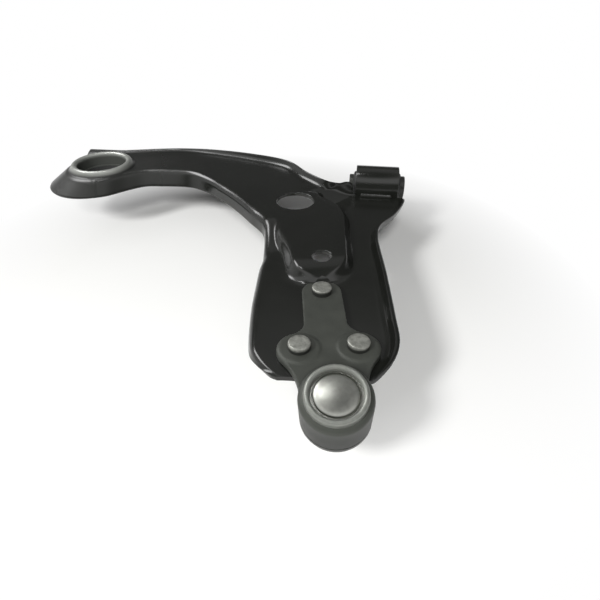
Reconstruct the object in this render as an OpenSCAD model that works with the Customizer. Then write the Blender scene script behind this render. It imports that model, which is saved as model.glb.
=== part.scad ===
// Suspension control arm: one steel pressing with a welded front bush tube, a drawn collar for the rear
// bush and a riveted ball joint. The origin is the centre of the front bush. +X runs along the pivot axis,
// away from the rear bush, +Y points inboard and +Z points to the closed side of the ball joint.

/* [Hard points] */
// Distance between the two bushes, along the pivot axis
bush_span = 314; // [290:1:340]
// Ball joint along the pivot axis, from the front bush
ball_x = -26; // [-40:1:-12]
// Ball joint across the pivot axis, from the front bush
ball_y = -302; // [-320:1:-285]
// Ball centre above the pivot axis
ball_z = -6; // [-8:0.5:-5]
// Lean of the ball stud, outboard of upright at its closed end
stud_lean = 13.8; // [10:0.2:16]
// Sideways lean of the ball stud, towards the rear bush at its closed end
stud_side = 3; // [2:0.2:5]
// Ball centre beside the middle of the joint's flange
ball_shift = 0.8; // [0.4:0.1:1.6]
// Turn of the outboard blade against the pivot axis
blade_turn = 7.1; // [4:0.1:10]
// Turn of the ball joint on the blade
joint_turn = 2.2; // [0:0.1:4]

/* [Pressing] */
// Sheet thickness
sheet_t = 3.5; // [2.5:0.1:4]
// Top of the flat sheet above the pivot axis
plate_z = -2.5; // [-4:0.1:-1]
// Height of the pressed-up leg and rib above the flat sheet
rib_h = 10; // [8:0.5:12]
// Depth of the turned-down front skirt
skirt_h = 15; // [12:0.5:18]
// Outer bend radius of the skirt
bend_r = 8; // [6.5:0.5:9]
// Height of the turned-up inboard rim
rim_h = 8; // [5:0.5:10]
// Width of the turned-up rim in plan
rim_run = 9; // [7:0.5:11]
// Width of the rib's sloping side in plan
wall_run = 9; // [8:0.5:11]
// Radius of the large hole in the rib
big_hole_r = 18.5; // [14:0.5:20]
// Radius of the small hole in the rib
small_hole_r = 8.2; // [6:0.2:10]

/* [Rear end] */
// Outer radius of the rear bush
rear_bush_r = 26.5; // [24:0.25:28]
// Height of the collar's crest above the leg
collar_h = 6; // [4:0.5:8]
// Depth of the collar's inner wall below the leg
collar_depth = 18; // [16:0.5:20]
// Radius of the round end
paddle_r = 45; // [43:0.5:47]
// Outward flare of the skirt where the leg meets the round end
leg_flare = 6; // [4:0.5:8]
// Extra flare of the skirt at the tip of the round end
tip_flare = 9.5; // [7:0.5:11]
// Rear bush below the collar's crest
rear_recess = 13.5; // [12:0.5:15]
// Length of the rear bush shell
rear_shell_l = 17; // [15:0.5:20]
// Wall of the rear bush shell
rear_shell_t = 1.5; // [1:0.1:2]
// Outer radius of the rear inner sleeve
rear_sleeve_r = 11; // [10:0.5:12]
// Bolt hole radius of the rear inner sleeve
rear_bolt_r = 7.1; // [5.1:0.1:7.6]
// Length of the rear inner sleeve
rear_sleeve_l = 21.5; // [19:0.5:26]

/* [Front bush] */
// Outer radius of the welded tube
tube_r = 21.5; // [20:0.25:23]
// Wall of the welded tube
tube_t = 3; // [2:0.1:3.5]
// Length of the welded tube
tube_l = 45; // [41:1:49]
// Wall of the bush's outer sleeve
front_shell_t = 1.6; // [1:0.1:2]
// Thickness of the rubber between the sleeves
front_rubber_t = 4.9; // [4:0.1:6]
// Bolt hole radius of the inner sleeve
front_bolt_r = 6.1; // [5.1:0.1:7.1]
// Length of the inner sleeve
front_sleeve_l = 59; // [55:1:66]
// Rubber standing out at each end of the tube
front_rubber_out = 2.5; // [1:0.5:4]
// Size of the weld bead
weld_leg = 5; // [4:0.5:6]

/* [Ball joint] */
// Radius of the ball
ball_r = 12.5; // [11.5:0.25:13]
// Outer radius of the housing
housing_r = 22.25; // [21:0.25:24]
// Radius of the cavity for the seat
cavity_r = 16; // [15.5:0.25:16.5]
// Crest of the rolled lip above the ball centre
lip_top = 19; // [18.5:0.25:20]
// Radius of the rolled lip's crest
lip_r = 16.4; // [16:0.1:17]
// Thickness of the riveted flange
flange_t = 5; // [4.5:0.25:7]
// Half the pitch of the two rivets near the ball
rivet_half = 19.2; // [18:0.2:21]
// Rivet pair, from the ball
rivet_pair_y = 41.3; // [39:0.2:44]
// Tail rivet, from the ball
rivet_tail_y = 101.3; // [95:0.2:104]
// Radius of the flange's lobes and tail
lobe_r = 15; // [13:0.25:16]
// Hollow between each lobe and the housing
waist_r = 44; // [36:1:50]
// Height of the raised seats under the rivet heads
seat_h = 0.8; // [0.5:0.1:1.5]
// Rivet head radius
rivet_head_r = 7.5; // [7:0.1:8.5]
// Rivet head height
rivet_head_h = 4.75; // [4:0.25:6]
// Rivet shank radius
rivet_r = 5; // [4:0.25:5.5]

/* [Ball stud] */
// Radius of the stud's pin
pin_r = 8; // [7:0.25:8.5]
// Neck radius below the ball
neck_r = 6.5; // [5.5:0.25:6.75]
// Tip of the stud below the ball centre
stud_tip = 52; // [50:1:58]
// Pinch bolt groove below the ball centre
groove_at = 43.5; // [42:0.5:45]
// Pinch bolt groove depth
groove_d = 2; // [1:0.25:2.5]

/* [Dust boot] */
// Rubber thickness
boot_t = 1.8; // [1.4:0.1:2.2]
// Widest radius of the boot
boot_r = 18.5; // [18:0.25:20]
// Lower lip of the boot below the ball centre
boot_end = 34; // [32:0.5:36]

/* [Fits] */
// Gap of a pressed or riveted fit, on the radius
press_gap = 0.03; // [0.02:0.01:0.05]
// Gap of a turning fit, on the radius
run_gap = 0.05; // [0.03:0.01:0.08]

/* [Hidden] */
$fn = 64;

black_coat = "#232426";
grey_phosphate = "#4b4d4a";
bright_steel = "#b9bab6";
rubber_black = "#1d1d1d";

// Three frames in plan that carry the pressing's sections, each [x, y, turn]
REAR = 0;
FRONT = 1;
BALL = 2;
plan_frames = [[-bush_span, 0, 0], [0, 0, 0], [ball_x, ball_y, blade_turn]];

leg_top = plate_z + rib_h;
leg_under = leg_top - sheet_t;
skirt_low = leg_top - skirt_h;
crest_z = leg_top + collar_h;
rear_top = crest_z - rear_recess;

// The collar's lip is the sheet folded back on itself
collar_fn = 48;
collar_bore = rear_bush_r / cos(180 / collar_fn);
lip_half = sheet_t;
lip_mid = collar_bore + lip_half;
lip_out = lip_mid + lip_half;
lip_fillet = 1.5;
collar_low = leg_under - collar_depth;
end_step = 0.15;
end_top = leg_top + end_step;
end_under = leg_under - end_step;
flat_r = lip_out + lip_fillet + 0.3;

// The round end's skirt turns from the inboard rim, past the tip, to the front of the leg. Its bend turns
// through more of a right angle beside the leg than at the tip.
paddle_from = 132;
paddle_sweep = 152;
paddle_steps = 18;
round_bend = 10;
bend_to = 35;
bend_less = 18;
tip_span = 0.96;
tip_power = 1.5;

big_hole_at = [-25, 246];
small_hole_at = [-2.5, 144];
rivet_tail = [0, rivet_tail_y];
rivet_pair = [[-rivet_half, rivet_pair_y], [rivet_half, rivet_pair_y]];
rivet_places = concat([rivet_tail], rivet_pair);
rivet_foot = 4.5;
neck_fillet = 12;
tail_end = 50;
hub_r = housing_r - ball_shift - 0.5;
notch_gap = 1;

front_shell_r = tube_r - tube_t - press_gap;
front_sleeve_r = front_shell_r - front_shell_t - front_rubber_t;
weld_l = tube_l - 14;

rear_shell_r = rear_bush_r - press_gap;
rubber_step = 1.5;
sleeve_drop = 0.5;
void_half = 40;
void_w = 5;

// Heights along the stud's axis, measured from the ball centre
housing_low = 14;
boot_seat_top = 9;
boot_seat_r = housing_r - 3.5;
boot_bead_r = housing_r - 0.9;
boot_land_r = pin_r + 1;
boot_land_end = boot_end + 1;
boot_lip_r = boot_land_r + 2.5;
seat_low = 8;
mouth_r = 12.9;
throat_z = 6;
throat_r = sqrt(ball_r * ball_r - throat_z * throat_z) - 0.4;
shoulder_r = 3;
shoulder_z = lip_top - 4;
lip_round = 2.4;
cap_low = ball_r + 0.7;
cap_top = lip_top - lip_round - 0.2;
cap_dome_r = lip_r - lip_round - 0.4;
neck_to = 13;
land_from = 22;
groove_round = 5;

// A point given in one of the plan frames, as a point of the arm
function in_plan(f, p) =
    let (o = plan_frames[f], c = cos(o[2]), s = sin(o[2]))
    [o[0] + c * p[0] - s * p[1], o[1] + s * p[0] + c * p[1]];

// Points along an arc, from angle a0 to a1
function arc(at, r, a0, a1, steps) =
    [for (i = [0 : steps]) let (a = a0 + (a1 - a0) * i / steps) at + r * [cos(a), sin(a)]];

function ease(u) = u * u * (3 - 2 * u);

// Sections of the pressing, from the rear collar to the ball joint. Each has its frame, the front end
// and the inboard end of the section in plan, the flat beside the rib at the front and how far it drops
// (0 none, 1 to the flat sheet), the same at the inboard side, the share of the rim's height, of the
// skirt's depth and of the rib's height, and the skirt's outward flare.
sections = [
    //      front end         inboard end      flat and drop  inboard them  rim   skirt rib   flare
    [REAR,  [9, -44],         [-36, 39],       10,      0,    20,     0,    0.35, 1,    1,    6.6],
    [REAR,  [15.4, -40.9],    [-16, 43.5],     10,      0,    20,     0,    0.35, 1,    1,    6.8],
    [REAR,  [23.6, -34.8],    [5, 46.5],       10,      0,    20,     0,    0.35, 1,    1,    7],
    [REAR,  [38, -19.6],      [20, 50],        10,      0,    20,     0,    0.35, 1,    1,    7],
    [REAR,  [53, -8.5],       [50, 57.5],      10,      0,    20,     0,    0.35, 1,    1,    7],
    [REAR,  [70, -5.5],       [79, 61],        10,      0,    20,     0,    0.4,  1,    1,    7],
    [REAR,  [104, -5.5],      [114, 57],       10,      0,    20,     0,    0.6,  1,    1,    6],
    [REAR,  [128, -18.8],     [164, 45],       10,      0,    20,     0,    0.8,  1,    1,    3],
    [FRONT, [-164, -39],      [-104, 27],      10,      0,    20,     0,    0.9,  1,    1,    1],
    [FRONT, [-147.5, -55.5],  [-78, -3],       10,      0,    20,     0,    0.9,  1,    1,    1],
    [FRONT, [-134.5, -70.5],  [-55, -23.8],    10,      0,    18,     0,    0.9,  1,    1,    1],
    [FRONT, [-122, -86],      [-41, -22],      10,      0,    20,     0.3,  0.88, 1,    1,    1],
    [FRONT, [-114.5, -94.5],  [-30, -21],      10,      0,    30,     0.65, 1.4,  1,    1,    1],
    [FRONT, [-109, -101.5],   [-19, -19.5],    10,      0,    38,     0.95, 0,    1,    1,    1],
    [FRONT, [-106, -106],     [-10, -19],      10,      0,    45,     1,    0,    1,    1,    1],
    [FRONT, [-103, -113],     [4, -19],        10,      0.15, 54,     1,    0,    1,    1,    1],
    [FRONT, [-101, -124],     [19, -20],       12,      0.5,  66,     1,    0,    1,    1,    1],
    [BALL,  [-52.6, 172],     [84, 253],       14,      0.85, 65,     1,    1,    1,    1,    1],
    [BALL,  [-52.8, 161],     [70, 224],       16,      1,    48,     1,    1,    1,    1,    1],
    [BALL,  [-53.6, 153],     [52, 201],       18,      1,    28,     1,    1,    1,    1,    1],
    [BALL,  [-54.8, 146],     [46.6, 180],     20,      1,    21,     1,    1,    1,    1,    1],
    [BALL,  [-55.4, 139],     [45.5, 160],     22,      1,    20,     1,    1,    1,    1,    1],
    [BALL,  [-55.8, 131],     [45.5, 147],     24.5,    1,    20.5,   1,    1,    1,    0.98, 1],
    [BALL,  [-56.2, 122],     [45.5, 137],     28,      1,    23,     1,    1,    1,    0.82, 1],
    [BALL,  [-56.6, 114],     [45.5, 129],     34,      1,    27,     1,    1,    1,    0.42, 1],
    [BALL,  [-56.9, 107],     [45.4, 122],     36,      1,    30,     1,    1,    1,    0,    1],
    [BALL,  [-57.3, 94],      [44.7, 100],     28,      1,    28,     1,    1,    1,    0,    1],
    [BALL,  [-56.6, 70],      [43.6, 70],      28,      1,    28,     1,    1,    0.9,  0,    1],
    [BALL,  [-54.1, 48],      [42.6, 47],      28,      1,    28,     1,    0.9,  0.6,  0,    1],
    [BALL,  [-48.2, 34.6],    [37.2, 32],      22,      1,    22,     1,    0.5,  0.3,  0,    1],
    [BALL,  [-39.7, 24.1],    [26.8, 18.8],    17,      1,    17,     1,    0.1,  0.06, 0,    1]
];
section_steps = 2;

// One section as a flat list: front end, inboard end, then the other numbers in the table's order
function flat_section(s) = concat(in_plan(s[0], s[1]), in_plan(s[0], s[2]), [for (i = [3 : 10]) s[i]]);
flat_sections = [for (s = sections) flat_section(s)];

function section_at(i) = flat_sections[max(0, min(len(flat_sections) - 1, i))];

// Smooth curve through the sections, as a blend of four neighbours
function between(i, u) =
    let (a = section_at(i - 1), b = section_at(i), c = section_at(i + 1), d = section_at(i + 2))
    0.5 * (2 * b + (c - a) * u + (2 * a - 5 * b + 4 * c - d) * u * u + (3 * b - a - 3 * c + d) * u * u * u);

all_sections = [
    for (i = [0 : len(sections) - 2])
        for (k = [0 : section_steps - (i == len(sections) - 2 ? 0 : 1)])
            between(i, k / section_steps)
];

// Upper skin of the sheet across one section: skirt, bend, front flat, rib, inboard flat and rim
function upper_skin(s) =
    let (
        w = norm([s[2] - s[0], s[3] - s[1]]),
        rise = rib_h * max(0, s[10]),
        z_rib = plate_z + rise,
        z_front = z_rib - rise * s[5],
        z_in = z_rib - rise * s[7],
        turn_up = rim_h * max(0, s[8]),
        bend = max(1.2 * sheet_t, bend_r * s[9]),
        low = [-s[11], z_front - skirt_h * s[9]],
        hub = [bend, z_front - bend],
        towards = (atan2(low[1] - hub[1], low[0] - hub[0]) + 360) % 360,
        bend_from = towards - acos(bend / norm(low - hub)),
        rib_0 = s[4] + wall_run,
        rib_1 = w - s[6] - wall_run
    )
    concat(
        [low],
        arc(hub, bend, bend_from, 90, 4),
        [for (u = [0 : 0.25 : 1]) [s[4] + wall_run * u, z_front + (z_rib - z_front) * ease(u)]],
        [[(rib_0 + rib_1) / 2, z_rib]],
        [for (u = [0 : 0.25 : 1]) [rib_1 + wall_run * u, z_rib - (z_rib - z_in) * ease(u)]],
        [for (u = [0 : 0.25 : 1]) [w - rim_run * (1 - u), z_in + turn_up * u * u]]
    );

// The square to a skin at point i, towards the underside
function skin_normal(p, i) =
    let (d = p[min(i + 1, len(p) - 1)] - p[max(i - 1, 0)]) [d[1], -d[0]] / norm(d);

function lower_skin(p) = [for (i = [len(p) - 1 : -1 : 0]) p[i] + sheet_t * skin_normal(p, i)];

// A closed ring of points in space round the sheet at one section
function sheet_ring(s) =
    let (
        run = [s[2] - s[0], s[3] - s[1]],
        along = run / norm(run),
        skin = upper_skin(s)
    )
    [for (p = concat(skin, lower_skin(skin))) [s[0] + along[0] * p[0], s[1] + along[1] * p[0], p[1]]];

// A solid skinned over rings that have the same number of points
module loft(rings) {
    n = len(rings[0]);
    last = len(rings) - 1;
    sides = [
        for (j = [0 : last - 1])
            for (i = [0 : n - 1])
                let (k = (i + 1) % n, a = j * n + i, b = j * n + k, c = a + n, d = b + n)
                    each [[a, b, c], [b, d, c]]
    ];
    ends = [[for (i = [n - 1 : -1 : 0]) i], [for (i = [0 : n - 1]) last * n + i]];
    polyhedron([for (r = rings) each r], concat(sides, ends), convexity = 10);
}

module at_rear() translate([-bush_span, 0, 0]) children();

module at_blade() translate([ball_x, ball_y, 0]) rotate(blade_turn) children();

// The ball joint's plan frame, and the leaning frame of its stud
module at_joint() at_blade() rotate(joint_turn) children();

module at_stud() at_joint() translate([ball_shift, 0, ball_z]) rotate([stud_lean, -stud_side, 0]) children();

// Turns a shape drawn along Z to run along the pivot axis, centred on the origin
module along_x(l) rotate([0, 90, 0]) translate([0, 0, -l / 2]) children();

// A plain bored cylinder
module pipe(r_out, r_in, l) {
    difference() {
        cylinder(r = r_out, h = l);
        translate([0, 0, -1]) cylinder(r = r_in, h = l + 2);
    }
}

// The profile of the collar: up the bore wall, over the crest and out along the flat round end
module collar_profile() {
    polygon(concat(
        [[collar_bore, collar_low]],
        arc([lip_mid, crest_z - lip_half], lip_half, 180, 0, 10),
        arc([lip_out + lip_fillet, end_top + lip_fillet], lip_fillet, 180, 270, 4),
        [
            [flat_r, end_top],
            [flat_r, end_under],
            [lip_mid + lip_fillet, end_under],
            [lip_mid, end_under - lip_fillet],
            [lip_mid, collar_low]
        ]
    ));
}

// A point of the round end, given by its angle and a point [radius, height]
function round_end(a, p) = [p[0] * cos(a), p[0] * sin(a), p[1]];

// The outer line of the round end's skirt, over the bend and down to the free edge, and its inner line.
// tip is 0 where the skirt meets the leg and 1 at the tip of the round end.
function skirt_outside(tip) = concat(
    [[paddle_r - round_bend - 2, leg_top]],
    arc([paddle_r - round_bend, leg_top - round_bend], round_bend, 90, bend_to + bend_less * tip, 4),
    [[paddle_r + leg_flare + tip_flare * tip, skirt_low]]
);

function skirt_inside(p) = [for (i = [0 : len(p) - 1]) p[i] + sheet_t * skin_normal(p, i)];

// The skirt's outer and inner line in space, after a share u of its whole turn
function skirt_edge(u) =
    let (line = skirt_outside(pow(sin(180 * tip_span * u), tip_power)), a = paddle_from + paddle_sweep * u)
    [for (side = [line, skirt_inside(line)]) [for (p = side) round_end(a, p)]];

// The flaring skirt, one convex piece for each turn and each step down the line
module paddle_skirt() {
    for (i = [0 : paddle_steps - 1]) {
        here = skirt_edge(i / paddle_steps);
        next = skirt_edge((i + 1) / paddle_steps);
        for (k = [0 : len(here[0]) - 2])
            hull()
            polyhedron(
                [for (e = [here, next]) each [e[0][k], e[0][k + 1], e[1][k + 1], e[1][k]]],
                [[0, 1, 2, 3], [7, 6, 5, 4], [0, 4, 5, 1], [1, 5, 6, 2], [2, 6, 7, 3], [3, 7, 4, 0]]
            );
    }
}

module upright_hole(at, r) translate([at[0], at[1], -50]) cylinder(r = r, h = 100);

// The pressing: a lofted sheet with a drawn collar, a flaring skirt round its rear end and a notch at the
// ball joint
module arm_pressing() {
    color(black_coat)
    difference() {
        union() {
            difference() {
                loft([for (s = all_sections) sheet_ring(s)]);
                at_rear() cylinder(r = lip_out, h = 100, center = true);
            }
            at_rear() rotate_extrude($fn = collar_fn) collar_profile();
            at_rear() paddle_skirt();
        }
        along_x(2 * front_sleeve_l) cylinder(r = tube_r + press_gap, h = 2 * front_sleeve_l);
        at_blade() upright_hole(big_hole_at, big_hole_r);
        at_blade() upright_hole(small_hole_at, small_hole_r);
        at_joint() for (p = rivet_places) upright_hole(p, rivet_r + press_gap);
        at_stud() cylinder(r = housing_r + notch_gap, h = 100, center = true);
    }
}

module front_bush_tube() color(black_coat) along_x(tube_l) pipe(tube_r, front_shell_r + press_gap, tube_l);

// Half of the seam between tube and sheet, a fillet bead along the tube. side is 1 above the sheet, -1 below.
module weld_bead(side) {
    seam_z = side > 0 ? plate_z : plate_z - sheet_t;
    seam_y = -sqrt(tube_r * tube_r - seam_z * seam_z);
    color(black_coat)
    translate([-weld_l / 2, 0, 0])
    rotate([90, 0, 90])
    linear_extrude(weld_l)
    difference() {
        translate([seam_y, seam_z]) circle(r = weld_leg);
        circle(r = tube_r + press_gap);
        translate([-2 * tube_r, side > 0 ? seam_z - 2 * weld_leg + press_gap : seam_z - press_gap])
            square([4 * tube_r, 2 * weld_leg]);
    }
}

module front_weld_upper() weld_bead(1);

module front_weld_lower() weld_bead(-1);

module front_bush_outer_sleeve() {
    color(bright_steel)
    along_x(tube_l)
    pipe(front_shell_r, front_shell_r - front_shell_t, tube_l);
}

// Rubber bonded between the sleeves, with a bevelled collar standing out at each end
module front_bush_rubber() {
    r_in = front_sleeve_r + run_gap;
    r_out = front_shell_r - front_shell_t - press_gap;
    half = tube_l / 2;
    color(rubber_black)
    rotate([0, 90, 0])
    rotate_extrude()
    polygon([
        [r_in, -half - front_rubber_out], [r_in + 1.5, -half - front_rubber_out], [r_out, -half],
        [r_out, half], [r_in + 1.5, half + front_rubber_out], [r_in, half + front_rubber_out]
    ]);
}

module front_bush_inner_sleeve() {
    color(bright_steel)
    along_x(front_sleeve_l)
    pipe(front_sleeve_r, front_bolt_r, front_sleeve_l);
}

module rear_bush_shell() {
    color(bright_steel)
    at_rear()
    translate([0, 0, rear_top - rear_shell_l])
    pipe(rear_shell_r, rear_shell_r - rear_shell_t, rear_shell_l);
}

// Rubber with two kidney-shaped voids, which lie fore and aft of the sleeve
module rear_bush_rubber() {
    r_in = rear_sleeve_r + run_gap;
    r_out = rear_shell_r - rear_shell_t - press_gap;
    r_void = (r_in + r_out) / 2;
    color(rubber_black)
    at_rear()
    translate([0, 0, rear_top - rear_shell_l + rubber_step])
    difference() {
        rotate_extrude()
        polygon([
            [r_in, 0], [r_out, 0], [r_out, rear_shell_l - 2 * rubber_step],
            [r_in, rear_shell_l - 2 * rubber_step]
        ]);
        for (a = [0, 180])
            rotate([0, 0, a - void_half])
            translate([0, 0, -1])
            rotate_extrude(angle = 2 * void_half)
            translate([r_void - void_w / 2, 0])
            square([void_w, rear_shell_l + 2]);
    }
}

module rear_bush_inner_sleeve() {
    color(bright_steel)
    at_rear()
    translate([0, 0, rear_top - sleeve_drop - rear_sleeve_l])
    pipe(rear_sleeve_r, rear_bolt_r, rear_sleeve_l);
}

// Half of the flange's outline, from the tail down to the housing, with a fillet between tongue and lobe
// and a hollow between lobe and housing
function flange_side() =
    let (
        lobe = [rivet_half, rivet_pair_y],
        mid = [lobe_r + neck_fillet, rivet_pair_y
            + sqrt(pow(lobe_r + neck_fillet, 2) - pow(lobe_r + neck_fillet - rivet_half, 2))],
        meet = atan2(mid[1] - lobe[1], mid[0] - lobe[0]),
        out = lobe / norm(lobe),
        far = hub_r + waist_r,
        along = (far * far - pow(lobe_r + waist_r, 2) + lobe * lobe) / (2 * norm(lobe)),
        waist = along * out + sqrt(far * far - along * along) * [out[1], -out[0]],
        leave = atan2(waist[1] - lobe[1], waist[0] - lobe[0]),
        hub = atan2(waist[1], waist[0])
    )
    concat(
        arc([0, rivet_tail_y], lobe_r, tail_end, 0, 8),
        arc(mid, neck_fillet, 180, meet + 180, 8),
        arc(lobe, lobe_r, meet, leave, 12),
        arc(waist, waist_r, leave + 180, hub + 180, 6),
        arc([0, 0], hub_r, hub, -90, 6)
    );

function mirrored(p) = [for (i = [len(p) - 1 : -1 : 0]) [-p[i][0], p[i][1]]];

// Forged housing: a cup for the ball and a three-hole flange that lies on the sheet
module ball_joint_housing() {
    color(grey_phosphate)
    difference() {
        union() {
            at_joint()
            translate([0, 0, plate_z])
            linear_extrude(flange_t)
            polygon(concat(flange_side(), mirrored(flange_side())));
            at_joint()
            for (p = rivet_pair)
                translate([p[0], p[1], plate_z + flange_t / 2])
                cylinder(r1 = lobe_r - 0.5, r2 = lobe_r - 2, h = flange_t / 2 + seat_h);
            at_stud() rotate_extrude() housing_outer();
        }
        at_stud() rotate_extrude() housing_inner();
        at_joint() for (p = rivet_places) upright_hole(p, rivet_r + press_gap);
    }
}

// Outside of the cup: boot groove, straight wall, rounded shoulder and rolled lip
module housing_outer() {
    polygon(concat(
        [
            [0, -housing_low], [boot_seat_r + 0.8, -housing_low], [boot_seat_r + 0.8, -housing_low + 1],
            [boot_seat_r, -housing_low + 1], [boot_seat_r, -boot_seat_top], [housing_r, -boot_seat_top]
        ],
        arc([housing_r - shoulder_r, shoulder_z - shoulder_r], shoulder_r, 0, 90, 6),
        arc([lip_r, lip_top - lip_round], lip_round, 0, 180, 8),
        [[0, lip_top - lip_round]]
    ));
}

// Inside of the cup: seat cavity, opening for the stud and the mouth that the lip is rolled over
module housing_inner() {
    polygon([
        [0, -housing_low - 1], [mouth_r + 0.6, -housing_low - 1], [mouth_r, -seat_low],
        [cavity_r + press_gap, -seat_low], [cavity_r + press_gap, cap_top],
        [lip_r - lip_round, cap_top], [lip_r - lip_round, lip_top + 1], [0, lip_top + 1]
    ]);
}

// Plastic race round the ball
module ball_seat() {
    color("#d8d4c4")
    at_stud()
    difference() {
        rotate_extrude()
        polygon([
            [0, -seat_low + press_gap], [cavity_r, -seat_low + press_gap], [cavity_r, cap_low],
            [0, cap_low]
        ]);
        sphere(r = ball_r + run_gap);
        translate([0, 0, -seat_low - 1]) cylinder(r1 = mouth_r, r2 = throat_r, h = seat_low + 1 - throat_z);
        cylinder(r = ball_r * 0.55, h = cap_low + 1);
    }
}

// Domed plate that closes the housing under the rolled lip
module closing_cap() {
    dome_h = lip_top - 1 - cap_top;
    dome_r = (cap_dome_r * cap_dome_r + dome_h * dome_h) / (2 * dome_h);
    half_angle = asin(cap_dome_r / dome_r);
    color(bright_steel)
    at_stud()
    rotate_extrude()
    polygon(concat(
        [[0, cap_low + press_gap], [cavity_r, cap_low + press_gap], [cavity_r, cap_top - press_gap]],
        arc([0, cap_top - press_gap + dome_h - dome_r], dome_r, 90 - half_angle, 90, 8)
    ));
}

// Ball, neck and clamped pin with the groove for the pinch bolt
module ball_stud() {
    color(bright_steel)
    at_stud()
    difference() {
        union() {
            sphere(r = ball_r);
            rotate_extrude()
            polygon([
                [0, -stud_tip], [pin_r - 1.5, -stud_tip], [pin_r, -stud_tip + 1.5], [pin_r, -boot_land_end],
                [boot_land_r, -boot_land_end], [boot_land_r, -land_from],
                [neck_r, -neck_to], [neck_r, -ball_r / 2], [0, -ball_r / 2]
            ]);
        }
        translate([0, 0, -groove_at])
            rotate_extrude()
            translate([pin_r + groove_round - groove_d, 0])
            circle(r = groove_round);
        translate([0, 0, ball_r - 1.5]) cylinder(r = ball_r, h = ball_r);
    }
}

// Rubber gaiter between the housing and the stud
module dust_boot() {
    top = -boot_seat_top - press_gap;
    seat_end = -housing_low + 1 + press_gap;
    bulge = [
        [boot_bead_r, seat_end], [boot_bead_r, -housing_low - 2], [boot_r, -housing_low - 4.5],
        [boot_r - 0.5, -housing_low - 7],
        [boot_r - 4, -boot_end + 8], [boot_lip_r + 1, -boot_end + 5]
    ];
    inner = [for (i = [len(bulge) - 1 : -1 : 1]) bulge[i] - [boot_t, -0.2 * boot_t]];
    color(rubber_black)
    at_stud()
    rotate_extrude()
    polygon(concat(
        [[boot_seat_r + press_gap, top], [boot_bead_r, top]],
        bulge,
        [[boot_lip_r, -boot_end + 4.5], [boot_lip_r, -boot_end], [boot_land_r + run_gap, -boot_end],
         [boot_land_r + run_gap, -boot_end + 4.5]],
        inner,
        [[boot_seat_r + 0.8 + press_gap, -housing_low - 0.3], [boot_seat_r + 0.8 + press_gap, seat_end],
         [boot_seat_r + press_gap, seat_end]]
    ));
}

module boot_housing_ring() {
    color(bright_steel)
    at_stud()
    translate([0, 0, -housing_low + 1.4])
    pipe(boot_bead_r + press_gap + 0.8, boot_bead_r + press_gap, housing_low - boot_seat_top - 1.8);
}

module boot_stud_ring() {
    color(bright_steel)
    at_stud()
    translate([0, 0, -boot_end + 1])
    pipe(boot_lip_r + press_gap + 0.8, boot_lip_r + press_gap, 2.5);
}

// A set rivet: cheese head above the flange and an upset head under the sheet
module rivet(p, seat) {
    top = plate_z + flange_t + seat;
    low = plate_z - sheet_t;
    round_r = 1;
    color(bright_steel)
    at_joint()
    translate([p[0], p[1], 0])
    rotate_extrude()
    polygon(concat(
        [[0, low - rivet_foot], [rivet_head_r * 0.7, low - rivet_foot], [rivet_head_r, low - rivet_foot / 2],
         [rivet_head_r, low - press_gap], [rivet_r, low - press_gap], [rivet_r, top + press_gap],
         [rivet_head_r, top + press_gap]],
        arc([rivet_head_r - round_r, top + rivet_head_h - round_r], round_r, 0, 90, 4),
        [[0, top + rivet_head_h]]
    ));
}

module tail_rivet() rivet(rivet_tail, 0);

module left_rivet() rivet(rivet_pair[0], seat_h);

module right_rivet() rivet(rivet_pair[1], seat_h);

arm_pressing();
front_bush_tube();
front_weld_upper();
front_weld_lower();
front_bush_outer_sleeve();
front_bush_rubber();
front_bush_inner_sleeve();
rear_bush_shell();
rear_bush_rubber();
rear_bush_inner_sleeve();
ball_joint_housing();
ball_seat();
ball_stud();
closing_cap();
dust_boot();
boot_housing_ring();
boot_stud_ring();
tail_rivet();
left_rivet();
right_rivet();
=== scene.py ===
# %% [markdown]
# # A pressed-steel control arm
# The object is the lower control arm of a small car. One steel pressing carries a rubber bush at each end
# of its pivot axis and a ball joint, held by three rivets, at its outer end. The imported CAD model is the
# frame: every piece made here lies where its solid lies, in metres, and all but the boot ride on that solid's
# body.

# %% Load the imported model
import math

import bmesh
import bpy
import numpy as np
from mathutils import Matrix, Vector


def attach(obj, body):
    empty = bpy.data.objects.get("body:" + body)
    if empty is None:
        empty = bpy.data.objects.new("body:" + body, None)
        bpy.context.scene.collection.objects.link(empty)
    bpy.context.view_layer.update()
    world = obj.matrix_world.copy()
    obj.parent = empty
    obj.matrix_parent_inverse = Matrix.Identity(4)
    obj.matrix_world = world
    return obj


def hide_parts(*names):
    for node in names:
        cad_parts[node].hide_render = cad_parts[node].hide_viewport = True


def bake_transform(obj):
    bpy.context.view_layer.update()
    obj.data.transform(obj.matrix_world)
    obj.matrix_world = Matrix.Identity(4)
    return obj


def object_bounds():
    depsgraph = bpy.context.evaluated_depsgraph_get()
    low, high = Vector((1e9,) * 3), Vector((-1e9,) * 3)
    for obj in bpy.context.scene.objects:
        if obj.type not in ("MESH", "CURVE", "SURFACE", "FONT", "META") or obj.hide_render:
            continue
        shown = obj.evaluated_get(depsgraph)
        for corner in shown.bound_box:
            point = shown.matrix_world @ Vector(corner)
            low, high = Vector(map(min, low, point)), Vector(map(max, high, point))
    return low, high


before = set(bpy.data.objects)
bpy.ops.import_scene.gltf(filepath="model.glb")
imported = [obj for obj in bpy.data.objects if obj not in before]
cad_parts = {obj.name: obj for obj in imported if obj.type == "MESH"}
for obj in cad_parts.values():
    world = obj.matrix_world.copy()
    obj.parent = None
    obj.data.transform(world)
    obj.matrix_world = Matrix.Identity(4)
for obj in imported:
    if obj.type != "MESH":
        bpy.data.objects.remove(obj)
cad_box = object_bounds()
print("CAD box in mm:", [[round(c * 1000, 1) for c in corner] for corner in cad_box])

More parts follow.
